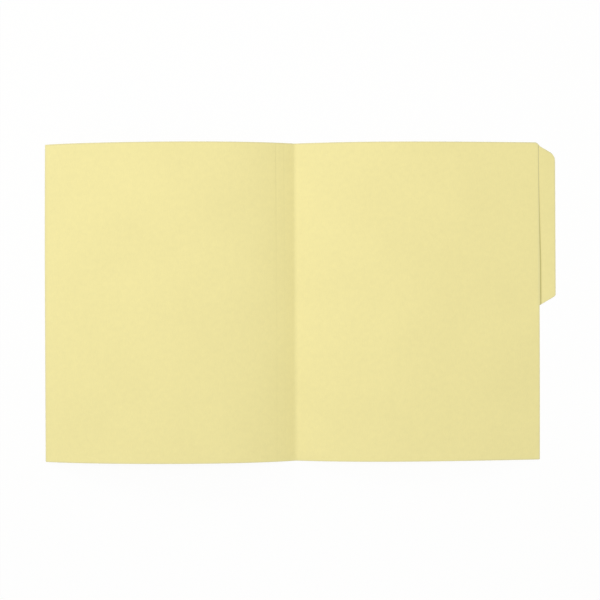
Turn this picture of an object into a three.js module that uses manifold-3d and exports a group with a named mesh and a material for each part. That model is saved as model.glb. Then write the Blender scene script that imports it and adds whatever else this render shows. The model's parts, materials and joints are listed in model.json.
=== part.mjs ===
// A letter-size file folder lying open with its inside face up. It is one die-cut sheet of
// yellow card, which straight scores divide into flat or gently arched panels: a back leaf
// with a half-cut tab, two narrow expansion strips beside the main fold, and a front leaf.
// X runs across the fold towards the tab, Y runs along the fold, and Z is up.
// The origin is on the underside of the back leaf's foot, half way along the fold.
import * as THREE from "three";
import { mergeVertices } from "three/addons/utils/BufferGeometryUtils.js";
import Module from "manifold-3d";

const wasm = await Module();
wasm.setup();

// Sheet, in millimetres
const foldLength = 298.45; // 11 3/4 in along the main fold
const cardThickness = 0.3; // 11 point card
const scoreGap = 0.3; // clearance between two panels that meet at a score
const footWidth = 1.5; // flat strip of the back leaf that stands beside the main fold
const innerStripWidth = 9.9; // from the main fold to the first expansion score
const outerStripWidth = 8.1; // from the first expansion score to the second

// Front leaf, whose span includes both strips
const frontArch = {
  span: 235, // from the main fold to the free edge, lying arched
  startAngle: degrees(24), // slope where it leaves the fold
  startReach: 70, // how far that slope pulls on the curve
  endAngle: degrees(23), // slope where the free edge meets the table
  endReach: 40,
};

// Back leaf, without its foot and its tab
const backArch = {
  span: 228.95,
  startAngle: degrees(13),
  startReach: 60,
  endAngle: degrees(6),
  endReach: 120,
};
const plainCornerRadius = 1; // corner at the end without the tab

// Tab, and the cut corner of the back leaf that leads down to it
const tabProjection = 15.05; // from its crease to its outer edge
const tabBaseLength = 149.6; // from the notch to the near end
const tabSlant = degrees(30.5); // slant of its two ends, measured from X
const tabFarRadius = 10; // outer corner near the notch
const tabNearRadius = 3; // outer corner at the middle of the edge
const notchDrop = 3.8; // from the end of the leaf to the notch where the tab's far end starts
const notchOut = 1.2; // from the crease out to the notch
const shoulderSlope = degrees(48); // slope of the cut corner above the notch, measured from X
const shoulderRadius = 4.5;

// Fineness of the faceted surfaces
const leafSteps = 28;
const arcSegments = 8;
const dieReach = 50; // the cutting outline reaches this far above and below the table

// Places that follow from the sizes above
const innerScore = innerStripWidth; // distances from the main fold, along the card
const outerScore = innerStripWidth + outerStripWidth;
const mainFoldX = -(footWidth + scoreGap) / 2;
const backArchX = footWidth / 2;
const tabCreaseX = backArchX + backArch.span + scoreGap / 2;
const topY = foldLength / 2;

const yellowCard = new THREE.MeshStandardMaterial({
  color: 0xf0e6a2,
  roughness: 0.85,
  metalness: 0,
});
const scoredCard = yellowCard.clone();
scoredCard.color.set(0xe9de95); // pressed by the scores, a shade deeper

function degrees(angle) {
  return THREE.MathUtils.degToRad(angle);
}

// The inner face of an arched leaf, seen along the fold, from the fold at 0 to its free edge.
// The underside meets the table at both ends.
function archCurve({ span, startAngle, startReach, endAngle, endReach }) {
  const start = new THREE.Vector2(0, cardThickness);
  const end = new THREE.Vector2(span, cardThickness * Math.cos(endAngle));
  return new THREE.CubicBezierCurve(
    start,
    new THREE.Vector2(Math.cos(startAngle), Math.sin(startAngle)).multiplyScalar(startReach).add(start),
    new THREE.Vector2(-Math.cos(endAngle), Math.sin(endAngle)).multiplyScalar(endReach).add(end),
    end,
  );
}

// The two faces of a panel between two distances from the fold, measured along the card:
// points on its inner face, and the points of its underside square below them.
function panelFaces(curve, from, to, steps) {
  const length = curve.getLength();
  const shares = Array.from({ length: steps + 1 }, (_, i) =>
    Math.min((from + ((to - from) * i) / steps) / length, 1),
  );
  const inner = shares.map((share) => curve.getPointAt(share));
  const under = shares.map((share, i) => {
    const along = curve.getTangentAt(share);
    return new THREE.Vector2(along.y, -along.x).multiplyScalar(cardThickness).add(inner[i]);
  });
  return { inner, under };
}

// A sheet with this section across the fold, reaching over the whole length of the fold.
function extrudeAlongFold({ inner, under }) {
  const section = new THREE.Shape([...inner, ...under.toReversed()]);
  const geometry = new THREE.ExtrudeGeometry(section, { depth: foldLength, bevelEnabled: false });
  geometry.rotateX(Math.PI / 2); // the section's own Y becomes Z
  geometry.translate(0, topY, 0);
  return geometry;
}

// A closed outline in plan, with a corner {x, y, radius} rounded where it has a radius.
function roundedOutline(corners) {
  const points = corners.flatMap(({ x, y, radius }, i) => {
    const corner = new THREE.Vector2(x, y);
    if (!radius) return [corner];
    const before = corners.at(i - 1);
    const after = corners[(i + 1) % corners.length];
    const back = new THREE.Vector2(before.x, before.y).sub(corner).normalize();
    const on = new THREE.Vector2(after.x, after.y).sub(corner).normalize();
    const halfAngle = Math.acos(back.dot(on)) / 2;
    const centre = back.clone().add(on).setLength(radius / Math.sin(halfAngle)).add(corner);
    const arcStart = back.clone().multiplyScalar(radius / Math.tan(halfAngle)).add(corner);
    const startAngle = arcStart.sub(centre).angle();
    const turn = Math.sign(on.cross(back)) * (Math.PI - 2 * halfAngle);
    return Array.from({ length: arcSegments + 1 }, (_, k) => {
      const angle = startAngle + (turn * k) / arcSegments;
      return new THREE.Vector2(Math.cos(angle), Math.sin(angle)).multiplyScalar(radius).add(centre);
    });
  });
  return new THREE.Shape(points);
}

function toSolid(geometry) {
  const bare = geometry.clone();
  bare.deleteAttribute("normal");
  bare.deleteAttribute("uv");
  const merged = mergeVertices(bare, 1e-4);
  return new wasm.Manifold(
    new wasm.Mesh({
      numProp: 3,
      vertProperties: merged.attributes.position.array,
      triVerts: new Uint32Array(merged.index.array),
    }),
  );
}

function toGeometry(solid) {
  const mesh = solid.getMesh();
  const geometry = new THREE.BufferGeometry();
  geometry.setAttribute("position", new THREE.BufferAttribute(mesh.vertProperties, 3));
  geometry.setIndex(new THREE.BufferAttribute(mesh.triVerts, 1));
  geometry.computeVertexNormals();
  return geometry;
}

function panel(name, geometry, material) {
  const mesh = new THREE.Mesh(geometry, material);
  mesh.name = name;
  return mesh;
}

const frontCurve = archCurve(frontArch);

// A panel of the front half, between two distances from the main fold along the card.
function frontPanel(name, from, to, steps, material) {
  const { inner, under } = panelFaces(frontCurve, from, to, steps);
  const place = ({ x, y }) => new THREE.Vector2(mainFoldX - x, y);
  return panel(name, extrudeAlongFold({ inner: inner.map(place), under: under.map(place) }), material);
}

// A flat strip between two scores, given by their distances from the main fold.
function expansionStrip(name, firstScore, secondScore) {
  return frontPanel(name, firstScore + scoreGap / 2, secondScore - scoreGap / 2, 1, scoredCard);
}

function frontLeaf() {
  const from = outerScore + scoreGap / 2;
  return frontPanel("front_leaf", from, frontCurve.getLength(), leafSteps, yellowCard);
}

// The cutting outline of the back leaf and its tab in one: plain corner, the tab's near end, its
// two outer corners, the notch and the shoulder.
function backOutline() {
  const edge = backArchX + backArch.span;
  const outer = tabCreaseX + tabProjection;
  const notch = { x: tabCreaseX + notchOut, y: topY - notchDrop };
  const nearY = notch.y - tabBaseLength;
  return roundedOutline([
    { x: -footWidth, y: -topY },
    { x: edge, y: -topY, radius: plainCornerRadius },
    { x: edge, y: nearY },
    { x: outer, y: nearY + (outer - edge) * Math.tan(tabSlant), radius: tabNearRadius },
    { x: outer, y: notch.y - (outer - notch.x) * Math.tan(tabSlant), radius: tabFarRadius },
    notch,
    { x: notch.x - notchDrop / Math.tan(shoulderSlope), y: topY, radius: shoulderRadius },
    { x: -footWidth, y: topY },
  ]);
}

// A sheet that reaches past the cutting outline, cut along it.
function dieCut(sheet) {
  const die = new THREE.ExtrudeGeometry(backOutline(), { depth: 2 * dieReach, bevelEnabled: false });
  die.translate(0, 0, -dieReach);
  return toGeometry(toSolid(sheet).intersect(toSolid(die)));
}

// The back leaf: the flat foot beside the fold, and the arch.
function backLeaf() {
  const curve = archCurve(backArch);
  const { inner, under } = panelFaces(curve, 0, curve.getLength(), leafSteps);
  const place = ({ x, y }) => new THREE.Vector2(backArchX + x, y);
  const footFace = [new THREE.Vector2(-footWidth / 2, cardThickness)];
  const footUnder = [new THREE.Vector2(-footWidth / 2, 0), new THREE.Vector2(footWidth / 2, 0)];
  const sheet = extrudeAlongFold({
    inner: [...footFace, ...inner.map(place)],
    under: [...footUnder, ...under.slice(1).map(place)],
  });
  return panel("back_leaf", dieCut(sheet), yellowCard);
}

// The tab lies flat on the table beyond its crease.
function tab() {
  const sheet = new THREE.BoxGeometry(tabProjection, foldLength, cardThickness);
  sheet.translate(tabCreaseX + (scoreGap + tabProjection) / 2, 0, cardThickness / 2);
  return panel("tab", dieCut(sheet), yellowCard);
}

const folder = new THREE.Group();
folder.add(
  backLeaf(),
  tab(),
  expansionStrip("inner_expansion_strip", 0, innerScore),
  expansionStrip("outer_expansion_strip", innerScore, outerScore),
  frontLeaf(),
);

export default folder;
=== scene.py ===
"""A letter-size yellow file folder lying open on a white table, seen from straight above.

The whole folder is one sheet of card, so every piece samples one shared surface: a profile across
the fold, the cut outline, and the small relief that the scores press into the card.
"""

import json
import math

import bpy
import numpy as np
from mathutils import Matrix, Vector

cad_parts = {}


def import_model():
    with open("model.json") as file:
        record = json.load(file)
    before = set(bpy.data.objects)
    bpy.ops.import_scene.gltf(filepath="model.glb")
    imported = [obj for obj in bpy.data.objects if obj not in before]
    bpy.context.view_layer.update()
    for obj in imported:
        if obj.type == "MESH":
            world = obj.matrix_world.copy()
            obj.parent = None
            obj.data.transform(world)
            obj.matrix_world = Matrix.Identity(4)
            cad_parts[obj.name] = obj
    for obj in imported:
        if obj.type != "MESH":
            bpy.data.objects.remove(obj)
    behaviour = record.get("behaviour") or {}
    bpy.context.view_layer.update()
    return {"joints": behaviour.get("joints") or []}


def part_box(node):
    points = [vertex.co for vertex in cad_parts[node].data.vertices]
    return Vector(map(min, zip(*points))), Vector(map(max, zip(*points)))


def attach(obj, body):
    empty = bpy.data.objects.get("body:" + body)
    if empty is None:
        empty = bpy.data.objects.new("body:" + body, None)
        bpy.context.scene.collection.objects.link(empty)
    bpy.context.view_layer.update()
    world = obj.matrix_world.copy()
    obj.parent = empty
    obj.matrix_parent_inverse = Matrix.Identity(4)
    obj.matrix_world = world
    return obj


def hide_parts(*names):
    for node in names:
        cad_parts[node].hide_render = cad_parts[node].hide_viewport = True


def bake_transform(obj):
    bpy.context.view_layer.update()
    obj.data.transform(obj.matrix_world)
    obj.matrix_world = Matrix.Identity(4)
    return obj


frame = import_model()

MM = 0.001

# Sheet, from the frame and from the driving sizes of the solids. The start and end of an arch are
# each an angle in degrees and the length of the curve's handle there.
hinges = {joint["name"]: Vector(joint["pos_m"]) for joint in frame["joints"]}
back_low, back_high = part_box("back_leaf")
front_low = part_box("front_leaf")[0]
tab_low, tab_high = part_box("tab")
CARD = tab_high.z - tab_low.z
HALF_LENGTH = back_high.y
FOLD_X = hinges["main_fold"].x
FOOT_END = -back_low.x
FRONT_ARCH = {"span": FOLD_X - front_low.x, "start": (24, 70 * MM), "end": (23, 40 * MM)}
BACK_ARCH = {"span": back_high.x - FOOT_END, "start": (13, 60 * MM), "end": (6, 120 * MM)}
COVER_RADIUS = 0.4 * MM
PLAIN_RADIUS = 1 * MM
TAB_BASE = 149.6 * MM
TAB_SLANT = math.radians(30.5)
TAB_FAR_RADIUS = 10 * MM
TAB_NEAR_RADIUS = 3 * MM
NOTCH_DROP = 3.8 * MM
NOTCH_OUT = 1.2 * MM
SHOULDER_SLOPE = math.radians(48)
SHOULDER_RADIUS = 4.5 * MM

# How far two corners of the real sheet are cut out of square
COVER_CORNER_IN = 0.8 * MM
BACK_CORNER_IN = 0.5 * MM

# Marks that the scores press into the card, and the ridges beside them
INNER_SCORE_DEPTH = 0.035 * MM
INNER_SCORE_WIDTH = 0.5 * MM
OUTER_SCORE_DEPTH = 0.048 * MM
OUTER_SCORE_WIDTH = 0.6 * MM
RIDGE_HEIGHT = 0.03 * MM
RIDGE_WIDTH = 0.5 * MM
INNER_RIDGE_AWAY = 1.1 * MM
OUTER_RIDGE_AWAY = 1.2 * MM
FOLD_DEPTH = 0.04 * MM
FOLD_WIDTH = 0.5 * MM
FOLD_FILL = 0.1 * MM
FOLD_FILL_WIDTH = 1.5 * MM
TAB_LINE_DEPTH = 0.08 * MM
TAB_LINE_LOW_END = 1.15 * MM
TAB_LINE_LEAN = 1.95 * MM
TAB_LINE_FURTHEST_OUT = 0.4 * MM

# How strongly the card is darkened: the scores' compressed tone with painted shade in their grooves,
# painted shade over the tab, and painted shade along the cut edges
INNER_SCORE_TONE_AND_SHADE = 0.08
INNER_TONE_AND_SHADE_WIDTH = 0.45 * MM
OUTER_SCORE_TONE_AND_SHADE = 0.13
OUTER_TONE_AND_SHADE_WIDTH = 0.6 * MM
TAB_SHADE = 0.02
TAB_SHADE_RISE = 0.1
TAB_SHADE_START = 2 * MM
# Reach of the painted shade along the cut edges
EDGE_SHADE_REACH = 0.5 * MM

# Fineness. ROWS_AT_EDGE are the distances of the outer rows from a cut edge, in mm.
ARCH_POINTS = 3000
ARC_STEPS = 24
PROFILE_STEP = 0.05 * MM
CREASE_SMOOTHING = 0.9 * MM
FOLD_SMOOTHING = 3 * MM
LEAF_STEP = 3 * MM
ROW_STEP = 5 * MM
ROWS_AT_EDGE = (0, 0.15, 0.35, 0.7, 1.3, 2.5)
FINE_STEP = 0.15 * MM
SHARP_ANGLE = math.radians(50)

# Card
CARD_COLOUR = (0.866, 0.78, 0.368, 1)
CUT_EDGE_COLOUR = (0.9, 0.83, 0.46, 1)
FLECK_COLOUR = (0.93, 0.88, 0.55, 1)
# Dark olive for the scores' tone and their painted shade, the painted shadow beside the tab's crease
# and the painted shade over the tab
PRESS_AND_SHADE_COLOUR = (0.45, 0.4, 0.14, 1)
# Painted shade along the cut edges
EDGE_SHADE_COLOUR = (0.55, 0.53, 0.36, 1)
FLECK_ABOVE = 0.73
FLECK_SHARE = 0.12
PRESS_AND_SHADE_SHARE = 0.75
TOOTH_HEIGHT = 0.35
FIBRE_HEIGHT = 0.45
CLOUD_HEIGHT = 0.5
BUMP_DISTANCE = 0.05 * MM
ROUGHNESS = 0.72
FIBRE_ROUGHNESS = 0.12
SPECULAR_LEVEL = 0.3

# Table, room and lamps
WHITE = (1, 1, 1, 1)
TABLE_PAINT = (0.93, 0.93, 0.93, 1)
TABLE_WHITE_SHARE = 0.93
TABLE_SIZE = 8
TABLE_BELOW = 0.05 * MM
ROOM_COLOUR = (0.96, 1, 0.88, 1)
ROOM_STRENGTH = 0.52
LAMP_SIZE = 0.6
KEY_COLOUR = (0.88, 0.88, 1)
OVERHEAD_COLOUR = (1, 0.94, 0.95)

# Camera
CAMERA_AT = (4.2 * MM, 1.95 * MM, 1.0)
CAMERA_LENS = 63.72
CAMERA_SENSOR = 36
CAMERA_ROLL = math.radians(-0.28)


def smoothstep(low, high, value):
    t = np.clip((value - low) / (high - low), 0, 1)
    return t * t * (3 - 2 * t)


# Profile across the fold


def arch_points(span, start, end):
    """The inner face of an arched leaf as points (distance out, height), from the fold outwards."""
    start_angle, end_angle = math.radians(start[0]), math.radians(end[0])
    first = np.array([0, CARD])
    last = np.array([span, CARD * math.cos(end_angle)])
    near = first + start[1] * np.array([math.cos(start_angle), math.sin(start_angle)])
    far = last + end[1] * np.array([-math.cos(end_angle), math.sin(end_angle)])
    u = np.linspace(0, 1, ARCH_POINTS)[:, None]
    left = 1 - u
    return left**3 * first + 3 * left**2 * u * near + 3 * left * u**2 * far + u**3 * last


def along(points):
    """Distances of points from the first one, measured along them."""
    steps = np.linalg.norm(np.diff(points, axis=0), axis=1)
    return np.concatenate([[0], np.cumsum(steps)])


def profile():
    """Even steps along the whole card: place from the main fold, x, z and slope."""
    front = arch_points(**FRONT_ARCH)
    front[:, 0] = FOLD_X - front[:, 0]
    back = arch_points(**BACK_ARCH)
    back[:, 0] += FOOT_END
    tab = np.array([[tab_high.x, CARD]])
    points = np.concatenate([front[:0:-1], [[FOLD_X, CARD]], back, tab])
    place = along(points) - along(front)[-1]
    even = np.arange(place[0], place[-1] + PROFILE_STEP / 2, PROFILE_STEP)
    x = np.interp(even, place, points[:, 0])
    z = np.interp(even, place, points[:, 1])

    def smoothed(values, length):
        width = int(length / PROFILE_STEP / 2)
        kernel = np.ones(2 * width + 1) / (2 * width + 1)
        before = 2 * values[0] - values[width:0:-1]
        after = 2 * values[-1] - values[-2 : -width - 2 : -1]
        return np.convolve(np.concatenate([before, values, after]), kernel, "valid")

    near_fold = 1 - smoothstep(FOLD_SMOOTHING, 2 * FOLD_SMOOTHING, np.abs(even))
    x = smoothed(x, CREASE_SMOOTHING)
    crisp, soft = smoothed(z, CREASE_SMOOTHING), smoothed(z, FOLD_SMOOTHING)
    z = crisp + near_fold * (soft - crisp)
    slope = np.arctan2(np.gradient(z), np.gradient(x))
    return even, x, z, slope


PLACE, PROFILE_X, PROFILE_Z, PROFILE_SLOPE = profile()


def place_at(x):
    """The place along the card that lies at this x."""
    return float(np.interp(x, PROFILE_X, PLACE))


FREE_EDGE = float(PLACE[0])
OUTER_EDGE = float(PLACE[-1])
BACK_EDGE = place_at(back_high.x)
BACK_START = place_at(back_low.x)
INNER_STRIP_END = place_at(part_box("inner_expansion_strip")[0].x)
OUTER_STRIP_END = place_at(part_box("outer_expansion_strip")[0].x)
INNER_SCORE = place_at(hinges["inner_score"].x)
OUTER_SCORE = place_at(hinges["outer_score"].x)
TAB_CREASE = place_at(hinges["tab_crease"].x)


# Cut outline


def rounded_path(corners):
    """A path through corners (x, y, radius), with the ones between its ends rounded."""
    points = [corners[0][:2]]
    for (x0, y0, _), (x1, y1, radius), (x2, y2, _) in zip(corners, corners[1:], corners[2:]):
        corner = Vector((x1, y1))
        back = (Vector((x0, y0)) - corner).normalized()
        on = (Vector((x2, y2)) - corner).normalized()
        if not radius:
            points.append(corner[:])
            continue
        half = back.angle(on) / 2
        centre = corner + (back + on).normalized() * (radius / math.sin(half))
        first = (corner + back * (radius / math.tan(half)) - centre).normalized()
        last = (corner + on * (radius / math.tan(half)) - centre).normalized()
        for k in range(ARC_STEPS + 1):
            points.append((centre + radius * first.slerp(last, k / ARC_STEPS))[:])
    points.append(corners[-1][:2])
    return np.array(points)


def cut_sides():
    """Paths of x and y: the leaf's low side, the tab's low side, and the high side of both."""
    edge = back_high.x
    outer = tab_high.x
    notch_x = hinges["tab_crease"].x + NOTCH_OUT
    notch_y = HALF_LENGTH - NOTCH_DROP
    shoulder_x = notch_x - NOTCH_DROP / math.tan(SHOULDER_SLOPE)
    near_y = notch_y - TAB_BASE
    near_out = near_y + (outer - edge) * math.tan(TAB_SLANT)
    far_out = notch_y - (outer - notch_x) * math.tan(TAB_SLANT)
    middle = (near_out + far_out) / 2
    plain = [
        (FOLD_X, -HALF_LENGTH, 0),
        (edge, -HALF_LENGTH, PLAIN_RADIUS),
        (edge, 0, 0),
    ]
    near = [
        (FOLD_X, near_y, 0),
        (edge, near_y, 0),
        (outer, near_out, TAB_NEAR_RADIUS),
        (outer, middle, 0),
    ]
    far = [
        (FOLD_X, HALF_LENGTH, 0),
        (shoulder_x, HALF_LENGTH, SHOULDER_RADIUS),
        (notch_x, notch_y, 0),
        (outer, far_out, TAB_FAR_RADIUS),
        (outer, middle, 0),
    ]
    return [rounded_path(corners)[:-1] for corners in (plain, near, far)]


PLAIN_SIDE, NEAR_SIDE, FAR_SIDE = cut_sides()


def corner_drawn_in(distance, radius):
    """How far a rounded corner draws the side in, at this distance from the edge beside it."""
    inside = np.clip(radius - distance, 0, radius)
    return radius - np.sqrt(radius**2 - inside**2)


def leaf_sides(place):
    """Lowest and highest y of the two leaves at places along the card."""
    x = np.interp(place, PLACE, PROFILE_X)
    cover = corner_drawn_in(place - FREE_EDGE, COVER_RADIUS)
    low = np.interp(x, *PLAIN_SIDE.T) + cover
    high = np.interp(x, *FAR_SIDE.T) - cover
    return low, high


def tab_sides(place):
    """Lowest and highest y of the tab at places along the card."""
    x = np.interp(place, PLACE, PROFILE_X)
    return np.interp(x, *NEAR_SIDE.T), np.interp(x, *FAR_SIDE.T)


# Relief that the scores press into the inner face


def up_the_tab(y):
    """Share of the way from the tab's lower end to its upper end."""
    return (y - tab_low.y) / (tab_high.y - tab_low.y)


def tab_line_place(y):
    """The pressed line at the base of the tab leans inwards towards its upper end."""
    share = smoothstep(-0.25, 1.0, up_the_tab(y))
    return TAB_CREASE + np.minimum(TAB_LINE_LOW_END - TAB_LINE_LEAN * share, TAB_LINE_FURTHEST_OUT)


def tab_line(place, y):
    """Strength of the line at the base of the tab, with an abrupt left side and a soft right side:
    the depth of its groove and the darkness of the painted shadow beside it.
    """
    off = place - tab_line_place(y)
    fading = 1 - smoothstep(0.0, 1.0, up_the_tab(y))
    core_end = (0.5 + 0.5 * fading) * MM
    core = smoothstep(-0.25 * MM, 0, off) * (1 - smoothstep(core_end, core_end + 0.5 * MM, off))
    tail = smoothstep(-0.1 * MM, 0.3 * MM, off) * (1 - smoothstep(0.3 * MM, 3.2 * MM, off))
    start = smoothstep(tab_low.y - 0.6 * MM, tab_low.y + 0.2 * MM, y)
    return (core * (0.6 + 0.4 * fading) + tail * 0.25 * fading) * start


def groove(place, centre, width):
    """A rounded dip of depth 1."""
    return np.exp(-(((place - centre) / width) ** 2))


def score_strength(y):
    """The scores were pressed harder towards the top: 0.35 below the middle, then up to 0.95."""
    return 0.35 + 0.6 * smoothstep(0.0, 0.8, y / HALF_LENGTH)


def fold_sharpness(y):
    """The main fold is crisp at the top of the sheet and rounder at the bottom."""
    return smoothstep(-1.0, 0.6, y / HALF_LENGTH)


def relief(place, y):
    """Height of the inner face over the smooth profile."""
    pressed = INNER_SCORE_DEPTH * groove(place, INNER_SCORE, INNER_SCORE_WIDTH)
    pressed = pressed + OUTER_SCORE_DEPTH * groove(place, OUTER_SCORE, OUTER_SCORE_WIDTH)
    raised = RIDGE_HEIGHT * groove(place, OUTER_SCORE - OUTER_RIDGE_AWAY, RIDGE_WIDTH)
    raised = raised + RIDGE_HEIGHT * groove(place, INNER_SCORE + INNER_RIDGE_AWAY, RIDGE_WIDTH)
    main = FOLD_DEPTH * groove(place, 0, FOLD_WIDTH) * fold_sharpness(y)
    line = TAB_LINE_DEPTH * tab_line(place, y)
    return (raised - pressed) * score_strength(y) - main - line


def press_and_shade(place, y):
    """How much the card's colour is darkened, from 0 to 1: the scores' compressed tone with painted
    shade in their grooves, the painted shadow beside the tab's crease, and painted shade over the
    tab.
    """
    # The scores' compressed tone, with painted shade in their grooves
    inner = INNER_SCORE_TONE_AND_SHADE * groove(place, INNER_SCORE, INNER_TONE_AND_SHADE_WIDTH)
    outer = OUTER_SCORE_TONE_AND_SHADE * groove(place, OUTER_SCORE, OUTER_TONE_AND_SHADE_WIDTH)
    # Painted shade over the tab beyond its line, darker towards the tab's upper end
    on_tab = smoothstep(0, TAB_SHADE_START, place - tab_line_place(y))
    tab_shade = (TAB_SHADE + TAB_SHADE_RISE * up_the_tab(y)) * on_tab
    # tab_line adds the painted shadow beside the crease at the tab's base
    return np.clip((inner + outer) * score_strength(y) + tab_line(place, y) + tab_shade, 0, 1)


# Panels


def stations(start, end, fine):
    """Places from start to end in leaf steps. fine holds places, and how far fine steps reach
    on both sides of each."""
    low, high = min(start, end), max(start, end)
    places = set(np.linspace(low, high, max(int((high - low) / LEAF_STEP), 2) + 1))
    for centre, reach in fine:
        near, far = max(low, centre - reach), min(high, centre + reach)
        if far - near > FINE_STEP / 2:
            places = {p for p in places if p <= near or p >= far or p in (low, high)}
            places |= set(np.linspace(near, far, max(int((far - near) / FINE_STEP), 1) + 1))
    ordered = np.array(sorted(places))
    kept = [ordered[0]]
    for p in ordered[1:-1]:
        if p - kept[-1] > FINE_STEP / 3 and ordered[-1] - p > FINE_STEP / 3:
            kept.append(p)
    return np.array([*kept, ordered[-1]])


def row_shares(length):
    """Shares across the sheet from one cut edge to the other, closer together at both."""
    close = np.array(ROWS_AT_EDGE) * MM / length
    middle = np.linspace(close[-1], 1 - close[-1], int(length / ROW_STEP) + 1)
    return np.concatenate([close, middle[1:-1], 1 - close[::-1]])


def surface(place, y):
    """Points on the inner face, and the way up out of it."""
    x = np.interp(place, PLACE, PROFILE_X)
    x = x + COVER_CORNER_IN * np.clip(place / FREE_EDGE, 0, 1) * np.clip(y / HALF_LENGTH, 0, 1) ** 2
    x = x - BACK_CORNER_IN * np.clip(place / BACK_EDGE, 0, 1) * np.clip(-y / HALF_LENGTH, 0, 1) ** 2
    z = np.interp(place, PLACE, PROFILE_Z)
    z = z + FOLD_FILL * groove(place, 0, FOLD_FILL_WIDTH) * (1 - fold_sharpness(y))
    slope = np.interp(place, PLACE, PROFILE_SLOPE)
    up = np.stack([-np.sin(slope), np.zeros_like(slope), np.cos(slope)], axis=-1)
    points = np.stack([x, y, z], axis=-1)
    return points, up


def sheet_piece(name, places, sides, cut_places):
    """A closed sheet of card over these places. cut_places are the ends that are cut edges."""
    low, high = sides(places)
    shares = row_shares(float(np.max(high - low)))
    place = np.repeat(places[:, None], len(shares), axis=1)
    y = low[:, None] + (high - low)[:, None] * shares[None, :]
    points, up = surface(place, y)
    inner = points + up * relief(place, y)[..., None]
    under = points - up * CARD
    under[..., 2] = np.maximum(under[..., 2], 0)
    columns, rows = place.shape
    count = columns * rows
    vertices = np.concatenate([inner.reshape(-1, 3), under.reshape(-1, 3)])

    def at(i, j):
        return i * rows + j

    faces = []
    materials = []
    for i in range(columns - 1):
        for j in range(rows - 1):
            quad = (at(i, j), at(i + 1, j), at(i + 1, j + 1), at(i, j + 1))
            faces.append(quad)
            faces.append(tuple(count + v for v in reversed(quad)))
            materials += [0, 0]
    loop = [at(i, 0) for i in range(columns)]
    loop += [at(columns - 1, j) for j in range(1, rows)]
    loop += [at(i, rows - 1) for i in range(columns - 2, -1, -1)]
    loop += [at(0, j) for j in range(rows - 2, 0, -1)]
    for a, b in zip(loop, loop[1:] + loop[:1]):
        faces.append((b, a, count + a, count + b))
        materials.append(1)

    mesh = bpy.data.meshes.new(name)
    mesh.from_pydata([tuple(v) for v in vertices], [], faces)
    mesh.materials.append(card)
    mesh.materials.append(cut_edge)
    mesh.polygons.foreach_set("material_index", materials)
    mesh.polygons.foreach_set("use_smooth", [True] * len(faces))

    to_edge = np.minimum(y - low[:, None], high[:, None] - y)
    for cut in cut_places:
        to_edge = np.minimum(to_edge, np.abs(place - cut))
    # Painted shade along the cut edges, strongest at the edge
    edge = np.exp(-to_edge / EDGE_SHADE_REACH)
    flat = np.stack([place, y, np.zeros_like(y)], axis=-1).reshape(-1, 3)
    flat = np.concatenate([flat, flat - np.array([0, 0, CARD])])
    mesh.attributes.new("flat", "FLOAT_VECTOR", "POINT").data.foreach_set("vector", flat.ravel())
    both = np.concatenate([press_and_shade(place, y).ravel(), np.zeros(count)])
    mesh.attributes.new("press_and_shade", "FLOAT", "POINT").data.foreach_set("value", both)
    both = np.concatenate([edge.ravel(), edge.ravel()])
    mesh.attributes.new("edge", "FLOAT", "POINT").data.foreach_set("value", both)
    mesh.update()
    mesh.set_sharp_from_angle(angle=SHARP_ANGLE)
    piece = bpy.data.objects.new(name, mesh)
    bpy.context.scene.collection.objects.link(piece)
    return piece


# Materials


class Nodes:
    """Small helper that adds shader nodes and joins them."""

    def __init__(self, name):
        self.material = bpy.data.materials.new(name)
        self.material.use_nodes = True
        self.tree = self.material.node_tree
        self.tree.nodes.clear()

    def add(self, kind, inputs=None, **settings):
        node = self.tree.nodes.new(kind)
        for key, value in settings.items():
            setattr(node, key, value)
        for key, value in (inputs or {}).items():
            if isinstance(value, bpy.types.NodeSocket):
                self.tree.links.new(value, node.inputs[key])
            else:
                node.inputs[key].default_value = value
        return node

    def noise(self, coordinates, scale, detail, roughness=0.5, stretch=None):
        if stretch:
            mapping = self.add("ShaderNodeMapping", {"Vector": coordinates, "Scale": stretch})
            coordinates = mapping.outputs["Vector"]
        inputs = {"Vector": coordinates, "Scale": scale, "Detail": detail, "Roughness": roughness}
        return self.add("ShaderNodeTexNoise", inputs).outputs["Fac"]

    def math(self, operation, a, b):
        node = self.add("ShaderNodeMath", {0: a, 1: b}, operation=operation)
        return node.outputs["Value"]

    def spread(self, value, low, high):
        """A noise value around one half, turned into a factor between low and high."""
        inputs = {"Value": value, "From Min": 0.3, "From Max": 0.7, "To Min": low, "To Max": high}
        return self.add("ShaderNodeMapRange", inputs, clamp=True).outputs["Result"]

    def mix(self, factor, a, b):
        node = self.add("ShaderNodeMix", data_type="RGBA")
        for socket, value in ((node.inputs[0], factor), (node.inputs[6], a), (node.inputs[7], b)):
            if isinstance(value, bpy.types.NodeSocket):
                self.tree.links.new(value, socket)
            else:
                socket.default_value = value
        return node.outputs[2]


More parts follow.
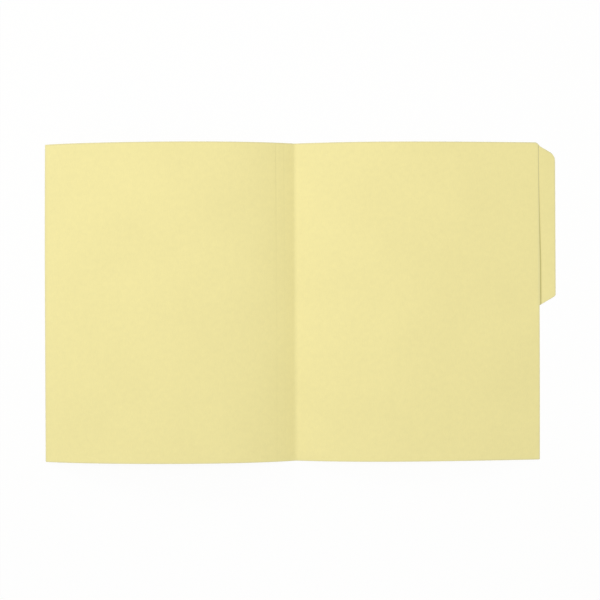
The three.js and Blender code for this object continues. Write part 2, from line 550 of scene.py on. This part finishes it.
def card_material(name, base, edge_shade_amount, bump_strength):
    """Uncoated coloured card: cloudy pulp, short fibres, a soft tooth, the scores' darker tone with
    painted shade in their grooves, a painted shadow beside the tab's crease, and painted shade over
    the tab and along the cut edges.
    """
    n = Nodes(name)
    flat = n.add("ShaderNodeAttribute", attribute_name="flat").outputs["Vector"]
    pressed = n.add("ShaderNodeAttribute", attribute_name="press_and_shade").outputs["Fac"]
    edge = n.add("ShaderNodeAttribute", attribute_name="edge").outputs["Fac"]

    cloud = n.noise(flat, 190, detail=3)
    drift = n.noise(flat, 16, detail=2)
    tooth = n.noise(flat, 1500, detail=2)
    fibre = n.noise(flat, 900, detail=3, roughness=0.6, stretch=(1.0, 0.28, 1.0))
    fleck = n.noise(flat, 620, detail=1, stretch=(0.45, 1.0, 1.0))

    tone = n.math("MULTIPLY", n.spread(cloud, 0.987, 1.013), n.spread(drift, 0.988, 1.012))
    tone = n.math("MULTIPLY", tone, n.spread(fibre, 0.985, 1.015))
    tone = n.math("MULTIPLY", tone, n.spread(tooth, 0.99, 1.01))
    scaled = n.add("ShaderNodeVectorMath", {0: base[:3], "Scale": tone}, operation="SCALE")
    colour = scaled.outputs["Vector"]

    pale = n.math("GREATER_THAN", fleck, FLECK_ABOVE)
    colour = n.mix(n.math("MULTIPLY", pale, FLECK_SHARE), colour, FLECK_COLOUR)
    # Darker tone and painted shade of the scores, painted shadow beside the tab's crease, painted
    # shade over the tab
    colour = n.mix(n.math("MULTIPLY", pressed, PRESS_AND_SHADE_SHARE), colour, PRESS_AND_SHADE_COLOUR)
    # Painted shade along the cut edges
    colour = n.mix(n.math("MULTIPLY", edge, edge_shade_amount), colour, EDGE_SHADE_COLOUR)

    tooth_height = n.math("MULTIPLY", tooth, TOOTH_HEIGHT)
    height = n.math("ADD", tooth_height, n.math("MULTIPLY", fibre, FIBRE_HEIGHT))
    height = n.math("ADD", height, n.math("MULTIPLY", cloud, CLOUD_HEIGHT))
    bump_inputs = {"Height": height, "Strength": bump_strength, "Distance": BUMP_DISTANCE}
    bump = n.add("ShaderNodeBump", bump_inputs).outputs["Normal"]
    rough = n.math("ADD", n.math("MULTIPLY", fibre, FIBRE_ROUGHNESS), ROUGHNESS)
    look = {"Base Color": colour, "Roughness": rough, "Normal": bump}
    shader = n.add("ShaderNodeBsdfPrincipled", {**look, "Specular IOR Level": SPECULAR_LEVEL})
    n.add("ShaderNodeOutputMaterial", {"Surface": shader.outputs["BSDF"]})
    return n.material


def floor_material():
    """White to the camera, and plain white paint to the light, with the shadow kept."""
    n = Nodes("white_table")
    path = n.add("ShaderNodeLightPath").outputs
    seen = n.math("MAXIMUM", path["Is Camera Ray"], path["Is Glossy Ray"])
    seen = n.math("MAXIMUM", seen, path["Is Transmission Ray"])
    paint = n.add("ShaderNodeBsdfDiffuse", {"Color": TABLE_PAINT}).outputs["BSDF"]
    white = n.add("ShaderNodeEmission", {"Color": WHITE, "Strength": 1.0}).outputs["Emission"]
    share = n.math("MULTIPLY", seen, TABLE_WHITE_SHARE)
    mixed = n.add("ShaderNodeMixShader", {0: share, 1: paint, 2: white})
    n.add("ShaderNodeOutputMaterial", {"Surface": mixed.outputs["Shader"]})
    return n.material


card = card_material("yellow_card", CARD_COLOUR, edge_shade_amount=0.6, bump_strength=0.35)
cut_edge = card_material("yellow_card_cut_edge", CUT_EDGE_COLOUR, edge_shade_amount=0.1, bump_strength=1.0)


# Pieces


def dress(node):
    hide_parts(node)


def bend(piece):
    """Bakes the piece's placement into its mesh."""
    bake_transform(piece)


def back_sheet():
    places = stations(BACK_START, BACK_EDGE, fine=[(BACK_START, 4 * MM), (BACK_EDGE, 4.2 * MM)])
    piece = sheet_piece("back_sheet", places, leaf_sides, [BACK_EDGE])
    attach(piece, "back_leaf")
    dress("back_leaf")


def tab_sheet():
    places = stations(BACK_EDGE, OUTER_EDGE, fine=[(BACK_EDGE, 5 * MM), (OUTER_EDGE, 5 * MM)])
    piece = sheet_piece("tab_sheet", places, tab_sides, [OUTER_EDGE])
    bend(piece)
    dress("tab")


def strip_sheet(name, node, start, end):
    places = stations(start, end, fine=[(start, 2.5 * MM), (end, 2.5 * MM)])
    piece = sheet_piece(name, places, leaf_sides, [])
    bend(piece)
    dress(node)


def front_sheet():
    start = OUTER_STRIP_END
    places = stations(FREE_EDGE, start, fine=[(start, 3 * MM), (FREE_EDGE, 1 * MM)])
    piece = sheet_piece("front_sheet", places, leaf_sides, [FREE_EDGE])
    bend(piece)
    dress("front_leaf")


def table():
    bpy.ops.mesh.primitive_plane_add(size=TABLE_SIZE, location=(0, 0, -TABLE_BELOW))
    floor = bpy.context.object
    floor.name = "table_top"
    floor.data.materials.append(floor_material())


def lamp(name, at, power, colour):
    """A round soft lamp aimed at the middle of the folder."""
    data = bpy.data.lights.new(name, "AREA")
    data.shape = "DISK"
    data.size = LAMP_SIZE
    data.energy = power
    data.color = colour
    light = bpy.data.objects.new(name, data)
    light.location = at
    light.rotation_euler = (-Vector(at)).to_track_quat("-Z", "Y").to_euler()
    bpy.context.scene.collection.objects.link(light)


def world():
    """Soft light of a warm room, and plain white to the camera."""
    sky = bpy.data.worlds.new("soft_room")
    sky.use_nodes = True
    nodes = sky.node_tree.nodes
    links = sky.node_tree.links
    seen = nodes.new("ShaderNodeLightPath").outputs["Is Camera Ray"]
    background = nodes["Background"]
    strength = nodes.new("ShaderNodeMapRange")
    strength.inputs["To Min"].default_value = ROOM_STRENGTH
    strength.inputs["To Max"].default_value = 1.0
    links.new(seen, strength.inputs["Value"])
    links.new(strength.outputs["Result"], background.inputs["Strength"])
    colour = nodes.new("ShaderNodeMix")
    colour.data_type = "RGBA"
    colour.inputs[6].default_value = ROOM_COLOUR
    colour.inputs[7].default_value = WHITE
    links.new(seen, colour.inputs[0])
    links.new(colour.outputs[2], background.inputs["Color"])
    bpy.context.scene.world = sky


def camera():
    data = bpy.data.cameras.new("above")
    data.lens = CAMERA_LENS
    data.sensor_width = CAMERA_SENSOR
    view = bpy.data.objects.new("above", data)
    view.location = CAMERA_AT
    view.rotation_euler = (0, 0, CAMERA_ROLL)
    bpy.context.scene.collection.objects.link(view)
    bpy.context.scene.camera = view


camera()
back_sheet()
tab_sheet()
strip_sheet(
    "inner_strip_sheet",
    "inner_expansion_strip",
    BACK_START,
    INNER_STRIP_END,
)
strip_sheet(
    "outer_strip_sheet",
    "outer_expansion_strip",
    INNER_STRIP_END,
    OUTER_STRIP_END,
)
front_sheet()
table()
world()
lamp("key", at=(-1.6, 1.6, 0.7), power=19.3, colour=KEY_COLOUR)
lamp("left_overhead", at=(-0.3, 0.2, 1.2), power=4.15, colour=OVERHEAD_COLOUR)
lamp("right_overhead", at=(0.5, 0.2, 1.2), power=3.25, colour=OVERHEAD_COLOUR)
bpy.context.scene.view_settings.view_transform = "Standard"
